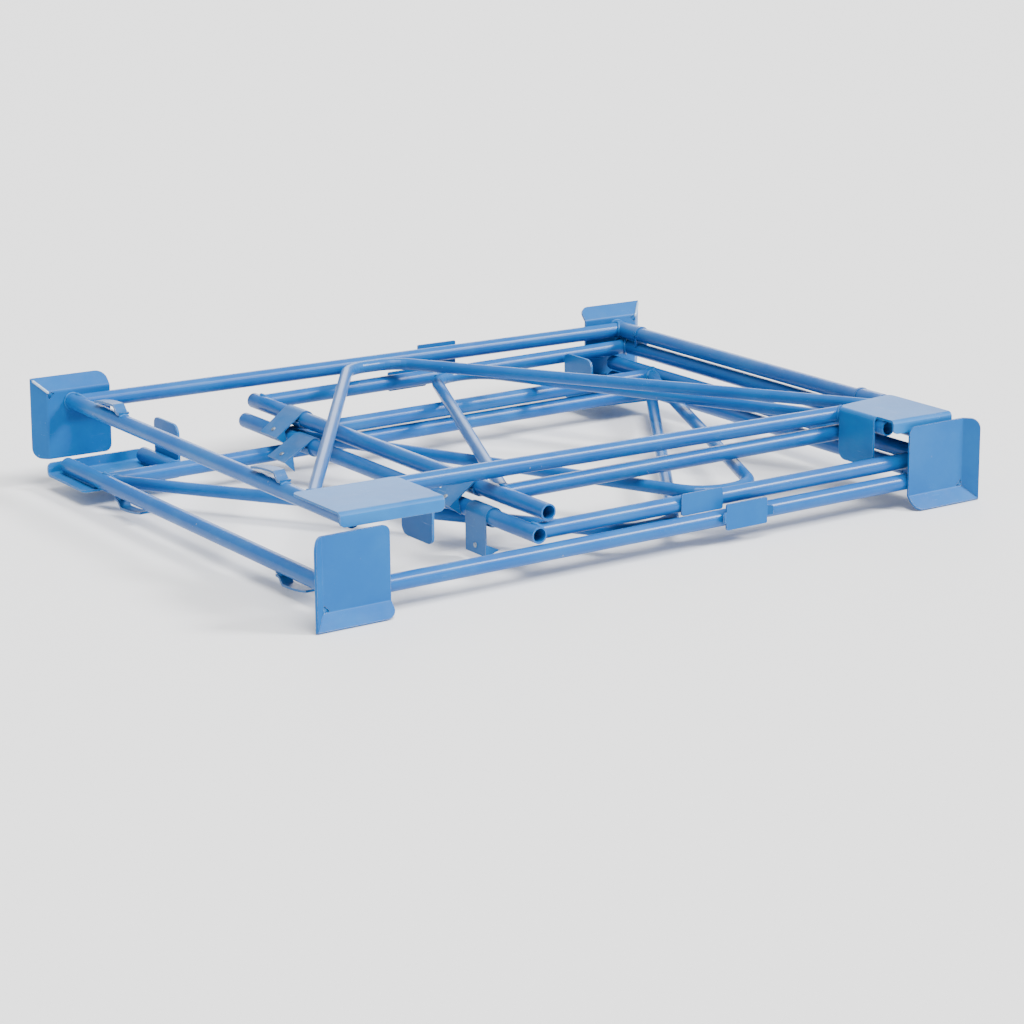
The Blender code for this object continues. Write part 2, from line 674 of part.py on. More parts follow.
axis_at = Matrix.Translation((HINGE_U, 0, 0))
lower = place_lower()
upper_gate = place_upper(0)
upper_side = place_upper(UPPER_TILT)
root = empty("collar", Matrix())
lower_hinge = empty("lower_gate_hinge", lower @ axis_at, root)
upper_lift = empty("upper_half_lift", upper_gate @ axis_at, lower_hinge)
upper_hinge = empty("upper_side_hinge", upper_side @ axis_at, upper_lift)

side_frame("lower", lower, root)
gate("lower", lower, lower_hinge)
latches("lower", lower, lower_hinge, (60, 0), 1)
gate("upper", upper_gate, upper_lift)
latches("upper", upper_gate, upper_lift, (126, 126), -1)
side_frame("upper", upper_side, upper_hinge)
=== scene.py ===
"""Looks of the folding steel pallet collar: blue powder coat, weld seams, wear, floor, light and camera."""
import json
import math

import bmesh
import bpy
from mathutils import Matrix, Vector


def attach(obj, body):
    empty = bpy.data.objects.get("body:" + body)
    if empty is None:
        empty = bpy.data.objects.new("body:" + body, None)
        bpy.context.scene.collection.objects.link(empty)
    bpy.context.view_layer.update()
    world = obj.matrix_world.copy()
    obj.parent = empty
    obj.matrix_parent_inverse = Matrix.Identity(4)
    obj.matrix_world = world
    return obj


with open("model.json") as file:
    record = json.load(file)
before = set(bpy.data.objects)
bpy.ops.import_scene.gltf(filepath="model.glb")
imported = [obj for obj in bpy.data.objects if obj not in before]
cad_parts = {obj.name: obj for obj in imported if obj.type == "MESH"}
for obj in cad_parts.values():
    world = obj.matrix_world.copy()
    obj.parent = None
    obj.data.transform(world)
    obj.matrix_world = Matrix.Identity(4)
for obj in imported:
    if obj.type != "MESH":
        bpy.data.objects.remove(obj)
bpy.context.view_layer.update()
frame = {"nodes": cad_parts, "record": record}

# sizes of the collar that the weld seams follow, in metres
HINGE_U = 1.150
GATE_LEG_U = 0.348
TUBE_R = 0.01345
TUBE_WALL = 0.0026
BRACE_R = 0.01065
STUB_R = 0.015
SLEEVE_R = 0.0162
GAP = 0.0003
SHEET = 0.004
FIT = TUBE_R + GAP
PIN_R = TUBE_R - TUBE_WALL - GAP
BOTTOM_V = 0.135
TOP_RAIL_V = 0.916
GATE_RAIL_V = 0.898
GATE_W = -(SLEEVE_R + TUBE_R + GAP)
TRAY_OVER = 0.0425
TRAY_TOP = 0.935
FLARE_LEN = 0.0325
FLARE_ANGLE = math.radians(45)
FOOT_TOP = 0.125
FOOT_FREE_IN = 0.158
FOOT_HINGE_IN = 0.131
STUB_LOW = 0.009
APEX_FLAT = 0.100
ARM_CORNER = 0.010
SLEEVE_TOP = 0.208
LUG_T = 0.005
HINGE_STUB_LOW = 0.854
EYE_W = 0.020
EYE_LOW_V = 0.197
EYE_HIGH_V = 0.735
PLATE_LEN = 0.082
PLATE_U = {"side": 0.740, "gate": 0.664}
LATCH_T = 0.0025
BEND_R = 0.006

# rest places of the two halves
LOWER_AT = (0.022, 0.913)
UPPER_AT = (0.047, 0.005)
UPPER_TILT = math.radians(0.75)
LOWER_RISE = FIT + SHEET
UPPER_RISE = LOWER_RISE - 2 * GATE_W + TUBE_R + FIT + LATCH_T + 0.0004
FLARE_REACH = (BEND_R + SHEET / 2) * math.sin(FLARE_ANGLE)
FLARE_REACH += (FLARE_LEN - BEND_R * FLARE_ANGLE) * math.cos(FLARE_ANGLE)
RIGHT_END = UPPER_AT[0] + HINGE_U + (TRAY_OVER + FLARE_REACH) * math.cos(UPPER_TILT)
RIGHT_END += (LOWER_RISE + FLARE_REACH) * math.sin(UPPER_TILT)
ORIGIN = Vector(((LOWER_AT[0] - TRAY_OVER - FLARE_REACH + RIGHT_END) / 2,
                 (LOWER_AT[1] + UPPER_AT[1]) / 2, -FLARE_REACH))

LOWER = (Matrix.Translation(Vector((*LOWER_AT, LOWER_RISE)) - ORIGIN) @ Matrix.Rotation(math.pi, 4, "X"))
UPPER = Matrix.Translation(Vector((*UPPER_AT, UPPER_RISE)) - ORIGIN)
AXIS = Matrix.Translation((HINGE_U, 0, 0))
UPPER_SIDE = UPPER @ AXIS @ Matrix.Rotation(UPPER_TILT, 4, "Y") @ AXIS.inverted()


# node groups

class Tree:
    """Short way to add nodes and join them in a node tree."""

    def __init__(self, tree):
        self.tree = tree

    def node(self, kind, **sets):
        made = self.tree.nodes.new("ShaderNode" + kind)
        for key, value in sets.items():
            setattr(made, key, value)
        return made

    def feed(self, target, value):
        if isinstance(value, bpy.types.NodeSocket):
            self.tree.links.new(value, target)
        else:
            target.default_value = value

    def math(self, operation, a, b=0.5, clamp=False):
        made = self.node("Math", operation=operation, use_clamp=clamp)
        self.feed(made.inputs[0], a)
        self.feed(made.inputs[1], b)
        return made.outputs[0]

    def ramp(self, value, low, high, out_low=0.0, out_high=1.0):
        made = self.node("MapRange", interpolation_type="SMOOTHSTEP")
        for socket, number in zip(made.inputs, (value, low, high, out_low, out_high)):
            self.feed(socket, number)
        return made.outputs[0]

    def mix(self, share, a, b, blend="MIX"):
        made = self.node("Mix", data_type="RGBA", blend_type=blend)
        self.feed(made.inputs[0], share)
        self.feed(made.inputs[6], a)
        self.feed(made.inputs[7], b)
        return made.outputs[2]

    def noise(self, where, scale, detail=3.0, rough=0.5):
        made = self.node("TexNoise")
        self.feed(made.inputs["Vector"], where)
        self.feed(made.inputs["Scale"], scale)
        self.feed(made.inputs["Detail"], detail)
        self.feed(made.inputs["Roughness"], rough)
        return made.outputs["Fac"]

    def stretched(self, where, scale):
        made = self.node("Mapping")
        self.feed(made.inputs["Vector"], where)
        made.inputs["Scale"].default_value = scale
        return made.outputs[0]


def group(name, inputs, outputs):
    """Empty node group with float, colour or vector sockets, and its in and out nodes."""
    made = bpy.data.node_groups.new(name, "ShaderNodeTree")
    kinds = {"F": "NodeSocketFloat", "C": "NodeSocketColor", "V": "NodeSocketVector"}
    for label, kind, value in inputs:
        socket = made.interface.new_socket(label, in_out="INPUT", socket_type=kinds[kind])
        if value is not None:
            socket.default_value = value
    for label, kind in outputs:
        made.interface.new_socket(label, in_out="OUTPUT", socket_type=kinds[kind])
    tree = Tree(made)
    given = made.nodes.new("NodeGroupInput")
    out = made.nodes.new("NodeGroupOutput")
    return made, tree, tree.node("TexCoord"), given, out


def orange_peel():
    """Height of sprayed and baked powder: a fine, shallow peel with a few broader waves."""
    made, t, where, given, out = group(
        "powder_orange_peel", [("Peel Scale", "F", 700.0), ("Depth", "F", 1.0)], [("Height", "F")])
    fine = t.noise(where.outputs["Object"], given.outputs["Peel Scale"], 2.0, 0.45)
    broad = t.noise(where.outputs["Object"], t.math("MULTIPLY", given.outputs["Peel Scale"], 0.23), 2.0, 0.4)
    both = t.math("ADD", t.math("MULTIPLY", fine, 0.6), t.math("MULTIPLY", broad, 0.4))
    t.feed(out.inputs[0], t.math("MULTIPLY", both, given.outputs["Depth"]))
    return made


def coat_colour():
    """Powder coat colour with slow drift and thin spots."""
    made, t, where, given, out = group(
        "coat_colour_drift",
        [("Coat", "C", (0.1, 0.3, 0.6, 1)), ("Thin", "C", (0.1, 0.3, 0.6, 1)), ("Drift", "F", 0.5)],
        [("Colour", "C")])
    slow = t.ramp(t.noise(where.outputs["Object"], 9.0, 4.0, 0.6), 0.35, 0.7)
    fine = t.noise(where.outputs["Object"], 160.0, 3.0, 0.6)
    share = t.math("MULTIPLY", t.math("ADD", t.math("MULTIPLY", slow, 0.75), t.math("MULTIPLY", fine, 0.25)),
                   given.outputs["Drift"], clamp=True)
    t.feed(out.inputs[0], t.mix(share, given.outputs["Coat"], given.outputs["Thin"]))
    return made


def edge_wear():
    """Mask of rubbed edges and corners, broken up by noise."""
    made, t, where, given, out = group(
        "edge_wear", [("Reach", "F", 0.0012), ("Amount", "F", 0.5)], [("Mask", "F")])
    bevel = t.node("Bevel", samples=6)
    t.feed(bevel.inputs["Radius"], given.outputs["Reach"])
    shape = t.node("NewGeometry")
    dot = t.node("VectorMath", operation="DOT_PRODUCT")
    t.feed(dot.inputs[0], bevel.outputs[0])
    t.feed(dot.inputs[1], shape.outputs["Normal"])
    edge = t.ramp(dot.outputs["Value"], 0.97, 0.80)
    broken = t.noise(where.outputs["Object"], 260.0, 5.0, 0.7)
    limit = t.math("SUBTRACT", 1.0, t.math("MULTIPLY", given.outputs["Amount"], 0.62))
    chips = t.ramp(t.math("MULTIPLY", edge, t.math("ADD", broken, 0.32)), limit, t.math("ADD", limit, 0.08))
    t.feed(out.inputs[0], chips)
    return made


def rub_marks():
    """Mask of fine rub marks left by stacking, long in one direction."""
    made, t, where, given, out = group(
        "rub_marks", [("Fineness", "F", 1.0), ("Amount", "F", 0.3)], [("Mask", "F")])
    masks = []
    for scale in ((14, 420, 420), (420, 16, 300), (90, 100, 700)):
        spot = t.stretched(where.outputs["Object"], scale)
        line = t.noise(spot, given.outputs["Fineness"], 3.0, 0.55)
        masks.append(t.ramp(line, 0.665, 0.72))
    lines = t.math("MAXIMUM", t.math("MAXIMUM", masks[0], masks[1]), masks[2])
    where_rubbed = t.ramp(t.noise(where.outputs["Object"], 14.0, 3.0, 0.6), 0.52, 0.66)
    t.feed(out.inputs[0], t.math("MULTIPLY", t.math("MULTIPLY", lines, where_rubbed), given.outputs["Amount"]))
    return made


def settled_dust():
    """Mask of dust lying on what faces up, in soft patches."""
    made, t, where, given, out = group("settled_dust", [("Amount", "F", 0.3)], [("Mask", "F")])
    split = t.node("SeparateXYZ")
    t.feed(split.inputs[0], where.outputs["Normal"])
    up = t.ramp(split.outputs["Z"], 0.35, 0.98)
    patch = t.ramp(t.noise(where.outputs["Object"], 24.0, 6.0, 0.62), 0.34, 0.72)
    speck = t.ramp(t.noise(where.outputs["Object"], 900.0, 2.0, 0.5), 0.45, 0.75)
    soft = t.math("ADD", t.math("MULTIPLY", patch, 0.7), t.math("MULTIPLY", speck, 0.3))
    t.feed(out.inputs[0], t.math("MULTIPLY", t.math("MULTIPLY", up, soft), given.outputs["Amount"]))
    return made


def chips():
    """Small chips where the coat has been knocked through to steel."""
    made, t, where, given, out = group("coat_chips", [("Amount", "F", 0.3)], [("Mask", "F")])
    spots = t.node("TexVoronoi", feature="F1")
    t.feed(spots.inputs["Vector"], where.outputs["Object"])
    t.feed(spots.inputs["Scale"], 62.0)
    size = t.noise(where.outputs["Object"], 700.0, 3.0, 0.6)
    near = t.math("ADD", spots.outputs["Distance"], t.math("MULTIPLY", size, 0.16))
    few = t.ramp(t.noise(where.outputs["Object"], 17.0, 2.0, 0.5), 0.60, 0.66)
    t.feed(out.inputs[0], t.math("MULTIPLY", t.math("MULTIPLY", t.ramp(near, 0.19, 0.16), few),
                                 given.outputs["Amount"]))
    return made


GROUPS = {"peel": orange_peel(), "colour": coat_colour(), "edge": edge_wear(), "rub": rub_marks(),
          "dust": settled_dust(), "chips": chips()}

# finishes

STEEL = (0.36, 0.35, 0.34, 1)
DUST = (0.62, 0.60, 0.56, 1)
PALE = (0.42, 0.60, 0.80, 1)


def use(t, key, **values):
    """Place a shared group in a material with its own values."""
    made = t.node("Group", node_tree=GROUPS[key])
    for label, value in values.items():
        t.feed(made.inputs[label.replace("_", " ")], value)
    return made.outputs[0]


def powder_coat(name, coat, thin, rough, peel=1.0, edge=0.5, rub=0.15, dust=0.1, chip=0.4,
                clear=0.25, shine=0.4):
    """Blue powder coat over steel, with peel, drift, rub marks, chips, worn edges and dust."""
    mat = bpy.data.materials.new(name)
    mat.use_nodes = True
    t = Tree(mat.node_tree)
    bsdf = mat.node_tree.nodes["Principled BSDF"]
    colour = use(t, "colour", Coat=(*coat, 1), Thin=(*thin, 1), Drift=0.8)
    rubbed = use(t, "rub", Amount=rub)
    bare = t.math("MAXIMUM", use(t, "edge", Amount=edge), use(t, "chips", Amount=chip))
    dusty = use(t, "dust", Amount=dust)
    colour = t.mix(rubbed, colour, PALE)
    colour = t.mix(bare, colour, STEEL)
    colour = t.mix(dusty, colour, DUST)
    t.feed(bsdf.inputs["Base Color"], colour)
    t.feed(bsdf.inputs["Metallic"], t.math("MULTIPLY", bare, 0.85))
    worn = t.math("ADD", t.math("MULTIPLY", rubbed, 0.25), t.math("MULTIPLY", dusty, 0.45))
    slow = t.noise(t.node("TexCoord").outputs["Object"], 30.0, 4.0, 0.6)
    base = t.math("ADD", t.math("MULTIPLY", slow, 0.06), rough - 0.03)
    t.feed(bsdf.inputs["Roughness"], t.math("ADD", base, worn, clamp=True))
    bsdf.inputs["Coat Weight"].default_value = clear
    bsdf.inputs["Coat Roughness"].default_value = 0.26
    bsdf.inputs["Specular IOR Level"].default_value = shine
    bump = t.node("Bump")
    bump.inputs["Strength"].default_value = 0.35
    bump.inputs["Distance"].default_value = 0.0004
    height = t.math("SUBTRACT", use(t, "peel", Depth=peel), t.math("MULTIPLY", bare, 0.8))
    t.feed(bump.inputs["Height"], height)
    t.feed(bsdf.inputs["Normal"], bump.outputs[0])
    return mat


def plated(name, colour, rough, grain):
    """Zinc plate with fine turning marks and dull spots."""
    mat = bpy.data.materials.new(name)
    mat.use_nodes = True
    t = Tree(mat.node_tree)
    bsdf = mat.node_tree.nodes["Principled BSDF"]
    dusty = use(t, "dust", Amount=0.35)
    where = t.node("TexCoord").outputs["Object"]
    dull = t.ramp(t.noise(where, 380.0, 4.0, 0.6), 0.4, 0.7)
    tone = t.mix(dull, (*colour, 1), (colour[0] * 0.6, colour[1] * 0.62, colour[2] * 0.66, 1))
    t.feed(bsdf.inputs["Base Color"], t.mix(dusty, tone, DUST))
    t.feed(bsdf.inputs["Metallic"], t.math("SUBTRACT", 1.0, t.math("MULTIPLY", dusty, 0.7)))
    t.feed(bsdf.inputs["Roughness"], t.math("ADD", t.math("MULTIPLY", dull, 0.25), rough))
    bump = t.node("Bump")
    bump.inputs["Strength"].default_value = 0.3
    bump.inputs["Distance"].default_value = 0.0002
    t.feed(bump.inputs["Height"], t.noise(t.stretched(where, grain), 1.0, 3.0, 0.6))
    t.feed(bsdf.inputs["Normal"], bump.outputs[0])
    return mat


BLUE = (0.0040, 0.092, 0.336)
BLUE_THIN = (0.013, 0.136, 0.385)
BRACE_BLUE = (0.0040, 0.092, 0.326)
PLATE_BLUE = (0.0040, 0.101, 0.338)
# foot plate blues: a lighter copy of the plate blue, painted light standing in for the brightly lit tops of
# the feet
FOOT_BLUE_PAINTED_LIGHT = (0.007, 0.128, 0.39)
FOOT_BLUE_THIN_PAINTED_LIGHT = (0.016, 0.175, 0.46)
LATCH_BLUE = (0.005, 0.096, 0.296)
WELD_BLUE = (0.008, 0.120, 0.355)
# pale blues of the mitre bead: partly rubbed coat on the ridge, partly a painted highlight standing in for the
# bright glint along the weld
RUBBED_BLUE_AND_PAINTED_HIGHLIGHT = (0.26, 0.42, 0.62)
RUBBED_BLUE_THIN_AND_PAINTED_HIGHLIGHT = (0.50, 0.58, 0.68)
ZINC = (0.30, 0.36, 0.44)

FINISHES = {
    "blue_coat_tube": powder_coat("tube_powder_coat", BLUE, BLUE_THIN, 0.30, peel=0.6, edge=0.25,
                                  rub=0.12, dust=0.03, clear=0.3, shine=0.1),
    "blue_coat_brace": powder_coat("brace_powder_coat", BRACE_BLUE, BLUE_THIN, 0.30, peel=0.6, edge=0.2,
                                   rub=0.1, dust=0.03, clear=0.3, shine=0.1),
    "blue_coat_sheet": powder_coat("plate_powder_coat", PLATE_BLUE, BLUE_THIN, 0.36, peel=1.3, edge=0.45,
                                   rub=0.12, dust=0.05, clear=0.0, shine=0.15),
    "blue_coat_hinge": powder_coat("hinge_powder_coat", BLUE, BLUE_THIN, 0.3, edge=0.45, rub=0.2, shine=0.3),
    "blue_coat_latch": powder_coat("latch_powder_coat", LATCH_BLUE, BLUE_THIN, 0.33, edge=0.6, rub=0.3,
                                   chip=0.7, clear=0.0, shine=0.25),
    "zinc_rivet": plated("rivet_zinc", ZINC, 0.38, (500, 500, 500)),
}
WELD_COAT = powder_coat("weld_powder_coat", WELD_BLUE, BLUE_THIN, 0.34, peel=0.6, edge=0.0, rub=0.0,
                        dust=0.05, chip=0.1, clear=0.0, shine=0.25)
# mitre bead coat: pale and glossy, partly rub wear and partly painted highlight
MITRE_COAT_RUBBED_AND_HIGHLIGHT = powder_coat("mitre_weld_rubbed_and_painted_highlight", RUBBED_BLUE_AND_PAINTED_HIGHLIGHT, RUBBED_BLUE_THIN_AND_PAINTED_HIGHLIGHT, 0.2, peel=0.6, edge=0.0,
                         rub=0.3, dust=0.0, chip=0.3, clear=0.8)
# foot plate coat: lighter blue than the other plates is painted light; its stronger pale rub marks are partly
# rub wear and partly painted light
FOOT_COAT_PAINTED_LIGHT = powder_coat("foot_plate_coat_painted_light", FOOT_BLUE_PAINTED_LIGHT, FOOT_BLUE_THIN_PAINTED_LIGHT, 0.36, edge=0.45, rub=0.3,
                        dust=0.05, clear=0.0, shine=0.17)

subparts = frame["record"]["subparts"]
slot_of = {s["node"]: s["material_slot"] for s in subparts}
for name, node in frame["nodes"].items():
    node.data.materials.clear()
    # parts named _foot_ take the lighter foot coat, which carries painted light
    node.data.materials.append(FOOT_COAT_PAINTED_LIGHT if "_foot_" in name else FINISHES[slot_of[name]])


# weld seams

BEAD_SIDES = 8
RIPPLE = 0.0021
TUBE_BEAD = 0.0028
BRACE_BEAD = 0.0024
FOOT_BEAD = 0.0023
MITRE_BEAD = 0.0023
EYE_BEAD = 0.0022
EYE_SIDE_BEAD = 0.0018
PLATE_BEAD = 0.0020
TRAY_BEAD = 0.0020
STUB_BEAD = 0.0020
POST_BEAD = 0.0018
LUG_BEAD = 0.0018
SLEEVE_BEAD = 0.0016
APEX_HALF = 0.042


def bead(bm, points, size, place, closed=False):
    """Rippled weld bead swept along a path of local points."""
    path = [place @ Vector(p) for p in points]
    if closed:
        path.append(path[0])
    lengths = [0.0]
    for a, b in zip(path, path[1:]):
        lengths.append(lengths[-1] + (b - a).length)
    total = lengths[-1]
    count = max(6, round(total / RIPPLE) * 3)
    spots = []
    j = 0
    for i in range(count + (0 if closed else 1)):
        want = total * i / count
        while j < len(path) - 2 and lengths[j + 1] < want:
            j += 1
        part = (want - lengths[j]) / max(lengths[j + 1] - lengths[j], 1e-9)
        spots.append(path[j].lerp(path[j + 1], min(max(part, 0.0), 1.0)))
    rings = []
    last = len(spots) - 1
    for i, spot in enumerate(spots):
        ahead = spots[(i + 1) % len(spots)] if closed or i < last else spot
        back = spots[i - 1] if closed or i > 0 else spot
        along = (ahead - back).normalized()
        across = along.orthogonal().normalized()
        if abs(along.z) < 0.9:
            across = along.cross(Vector((0, 0, 1))).normalized()
        rise = along.cross(across)
        beat = (i % 3) / 3.0
        grow = size * (1.0 + 0.10 * (1 - beat) - 0.04 * math.sin(i * 0.37))
        if not closed:
            ends = min(i, last - i) / 4.0
            grow *= min(1.0, 0.25 + 0.75 * math.sqrt(min(ends, 1.0)))
        ring = []
        for k in range(BEAD_SIDES):
            ang = math.tau * k / BEAD_SIDES
            ring.append(bm.verts.new(spot + (across * math.cos(ang) + rise * math.sin(ang)) * grow))
        rings.append(ring)
    pairs = list(zip(rings, rings[1:]))
    if closed:
        pairs.append((rings[-1], rings[0]))
    for r0, r1 in pairs:
        for k in range(BEAD_SIDES):
            n = (k + 1) % BEAD_SIDES
            bm.faces.new((r0[k], r0[n], r1[n], r1[k]))
    if not closed:
        bm.faces.new(list(reversed(rings[0])))
        bm.faces.new(rings[-1])


def tube_rim(point, into, radius, rims, steps=48, stand=0.0002):
    """Edge of a tube end fitted to its neighbours; a rim is (0, u of a tube along v, radius) or
    (1, v of a tube along u, radius). The seam stands off by a little so that it shows."""
    point = Vector(point)
    into = Vector(into).normalized()
    side = into.cross(Vector((0, 0, 1)))
    out = []
    for k in range(steps):
        ang = math.tau * k / steps
        drop = (radius + stand) * math.sin(ang)
        pos = point + side * (radius + stand) * math.cos(ang) + Vector((0, 0, drop))
        reach = 0.0
        for axis, centre, fit in rims:
            room = math.sqrt(max((fit + stand) ** 2 - drop ** 2, 0.0))
            reach = max(reach, (centre + math.copysign(room, into[axis]) - pos[axis]) / into[axis])
        out.append(pos + into * reach)
    return out


def ring_path(u, v, w, radius, steps=40):
    """Circle round a leg."""
    turn = [math.tau * k / steps for k in range(steps)]
    return [(u + radius * math.cos(a), v, w + radius * math.sin(a)) for a in turn]


def brace_ends(left, right, apex_v, w, right_fit):
    """Rims of a brace where it runs into both bottom corners."""
    mid = (left + right) / 2
    out = []
    for corner, knee, fit in ((left + ARM_CORNER, mid - APEX_FLAT / 2, FIT),
                              (right - ARM_CORNER, mid + APEX_FLAT / 2, right_fit)):
        into = (knee - corner, apex_v - BOTTOM_V, 0)
        rims = [(1, BOTTOM_V, FIT)]
        centre = left if corner < mid else right
        rims.append((0, centre, fit))
        out.append(tube_rim((corner, BOTTOM_V, w), into, BRACE_R, rims))
    return out


def lump(bm, centre, half, rings=8, sides=16):
    """Rounded lump of weld metal, built ring by ring so that each run gives the same faces."""
    poles = [bm.verts.new(centre + Vector((0, 0, half.z * way))) for way in (1, -1)]
    rows = []
    for i in range(1, rings):
        down = math.pi * i / rings
        row = []
        for k in range(sides):
            turn = math.tau * k / sides
            out = Vector((math.sin(down) * math.cos(turn), math.sin(down) * math.sin(turn), math.cos(down)))
            row.append(bm.verts.new(centre + Vector((out.x * half.x, out.y * half.y, out.z * half.z))))
        rows.append(row)
    for k in range(sides):
        n = (k + 1) % sides
        bm.faces.new((poles[0], rows[0][k], rows[0][n]))
        bm.faces.new((poles[1], rows[-1][n], rows[-1][k]))
        for upper, lower in zip(rows, rows[1:]):
            bm.faces.new((upper[k], lower[k], lower[n], upper[n]))


def mitre_weld(bm, place, flip):
    """Bead on the outside of a tray's mitre, and the weld metal that nearly fills the relief cut."""
    edge = -TRAY_OVER if flip > 0 else HINGE_U + TRAY_OVER

    def spot(a, b, v):
        return place @ Vector((edge + flip * a, v, FIT + SHEET - b))

    line = []
    for k in range(19):
        far = 0.0002 + (FLARE_LEN - 0.0048) * k / 18
        ang = min(far / BEND_R, FLARE_ANGLE)
        rest = max(far - BEND_R * FLARE_ANGLE, 0)
        reach = (BEND_R + SHEET / 2) * math.sin(ang) + rest * math.cos(ang)
        rise = BEND_R + rest * math.sin(ang) - (BEND_R + SHEET / 2) * math.cos(ang) + SHEET / 2
        line.append(spot(-reach, -reach, TRAY_TOP - SHEET + rise))
    before = len(bm.faces)
    # the bead's faces take slot 1, the pale mitre coat, which is partly rub wear and partly painted highlight
    bead(bm, line, MITRE_BEAD, Matrix())
    bm.faces.ensure_lookup_table()
    for face in bm.faces[before:]:
        face.material_index = 1
    fill = ((-0.0026, -0.0026), (0.0015, -0.0030), (0.0104, -0.0003), (-0.0003, 0.0104), (-0.0030, 0.0015))
    low = [bm.verts.new(spot(a, b, TRAY_TOP - SHEET + 0.0012)) for a, b in fill]
    high = [bm.verts.new(spot(a, b, TRAY_TOP - 0.0012)) for a, b in fill]
    bm.faces.new(low)
    bm.faces.new(high[::-1])
    for i in range(len(fill)):
        n = (i + 1) % len(fill)
        bm.faces.new((low[n], low[i], high[i], high[n]))
    lump(bm, spot(-0.0006, -0.0006, TRAY_TOP - SHEET * 0.5), Vector((0.0044, 0.0023, 0.0044)))


def side_seams(bm, place):
    """Seams of a side frame."""
    for u, into, rims in ((0, 1, [(0, 0, FIT)]), (HINGE_U, -1, [(0, HINGE_U, STUB_R + GAP)])):
        bead(bm, tube_rim((u, TOP_RAIL_V, 0), (into, 0, 0), TUBE_R, rims), TUBE_BEAD, place, True)
    for u, into, rims in ((0, 1, [(0, 0, FIT)]), (HINGE_U, -1, [(0, HINGE_U, PIN_R + GAP)])):
        bead(bm, tube_rim((u, BOTTOM_V, 0), (into, 0, 0), TUBE_R, rims), TUBE_BEAD, place, True)
    for rim in brace_ends(0, HINGE_U, TOP_RAIL_V - TUBE_R - BRACE_R - GAP, 0, SLEEVE_R + 2 * GAP):
        bead(bm, rim, BRACE_BEAD, place, True)
    mid = HINGE_U / 2
    for side in (-1, 1):
        apex = [(mid + s * APEX_HALF, TOP_RAIL_V - TUBE_R - 0.0006, side * 0.0042)
                for s in (-1, -0.5, 0, 0.5, 1)]
        bead(bm, apex, PLATE_BEAD, place)
    for u, radius in ((0, TUBE_R), (HINGE_U, STUB_R)):
        bead(bm, ring_path(u, TRAY_TOP - SHEET - 0.0008, 0, radius + 0.0006), TRAY_BEAD, place, True)
    low, high = 0.004, FOOT_TOP - 0.004
    stubs = (FOOT_FREE_IN - SHEET - FIT, HINGE_U - FOOT_HINGE_IN + SHEET + FIT)
    for u in (0, HINGE_U) + stubs:
        start = low if u in (0, HINGE_U) else STUB_LOW + 0.003
        stop = high - (0.020 if u in stubs else 0)
        if u == HINGE_U:
            stop = BOTTOM_V - TUBE_R - 0.004
        for side in (-1, 1):
            line = [(u + side * 0.0070, start + (stop - start) * k / 12, TUBE_R - 0.0012) for k in range(13)]
            bead(bm, line, FOOT_BEAD, place)
    for u in stubs:
        rim = tube_rim((u, BOTTOM_V, 0), (0, -1, 0), TUBE_R, [(1, BOTTOM_V, FIT)])
        bead(bm, rim, STUB_BEAD, place, True)
    bead(bm, ring_path(HINGE_U, BOTTOM_V - FIT + 0.0006, 0, PIN_R + 0.0016), POST_BEAD, place, True)
    half = PLATE_LEN / 2
    top = TOP_RAIL_V + TUBE_R
    for side in (-1, 1):
        line = [(PLATE_U["side"] + s * half * 0.9, top - 0.0006, side * 0.0048) for s in (-1, -0.5, 0, 0.5, 1)]
        bead(bm, line, PLATE_BEAD, place)
    for base in (EYE_LOW_V, EYE_HIGH_V):
        face = FIT - 0.0002
        run = [(s * EYE_W / 2 * 0.94, base - 0.0006, face - abs(s) * 0.003) for s in (-1, -0.6, 0, 0.6, 1)]
        bead(bm, run, EYE_BEAD, place)
        for side in (-1, 1):
            run = [(side * 0.0062, base + 0.001 * k, TUBE_R - 0.0002) for k in range(0, 15, 2)]
            bead(bm, run, EYE_SIDE_BEAD, place)
    for flip in (1, -1):
        mitre_weld(bm, place, flip)


def gate_seams(bm, place):
    """Seams of a gate."""
    legs = (GATE_LEG_U, HINGE_U)
    for v in (GATE_RAIL_V, BOTTOM_V):
        for u, into in zip(legs, (1, -1)):
            bead(bm, tube_rim((u, v, GATE_W), (into, 0, 0), TUBE_R, [(0, u, FIT)]), TUBE_BEAD, place, True)
    for rim in brace_ends(*legs, GATE_RAIL_V - TUBE_R - BRACE_R - GAP, GATE_W, FIT):
        bead(bm, rim, BRACE_BEAD, place, True)
    mid = sum(legs) / 2
    for side in (-1, 1):
        apex = [(mid + s * APEX_HALF, GATE_RAIL_V - TUBE_R - 0.0006, GATE_W + side * 0.0042)
                for s in (-1, -0.5, 0, 0.5, 1)]
        bead(bm, apex, PLATE_BEAD, place)
        line = [(PLATE_U["gate"] + s * PLATE_LEN * 0.45, GATE_RAIL_V + TUBE_R - 0.0006, GATE_W + side * 0.0048)
                for s in (-1, -0.5, 0, 0.5, 1)]
        bead(bm, line, PLATE_BEAD, place)
    bead(bm, ring_path(HINGE_U, SLEEVE_TOP - 0.0002, 0, TUBE_R + 0.0008), SLEEVE_BEAD, place, True)
    for v in (SLEEVE_TOP + GAP + LUG_T, HINGE_STUB_LOW - GAP - LUG_T):
        for side in (-1, 1):
            run = [(HINGE_U + side * (0.0095 + 0.0008 * k), v, GATE_W + TUBE_R - 0.0045 + 0.0003 * k)
                   for k in range(4)]
            bead(bm, run, LUG_BEAD, place)


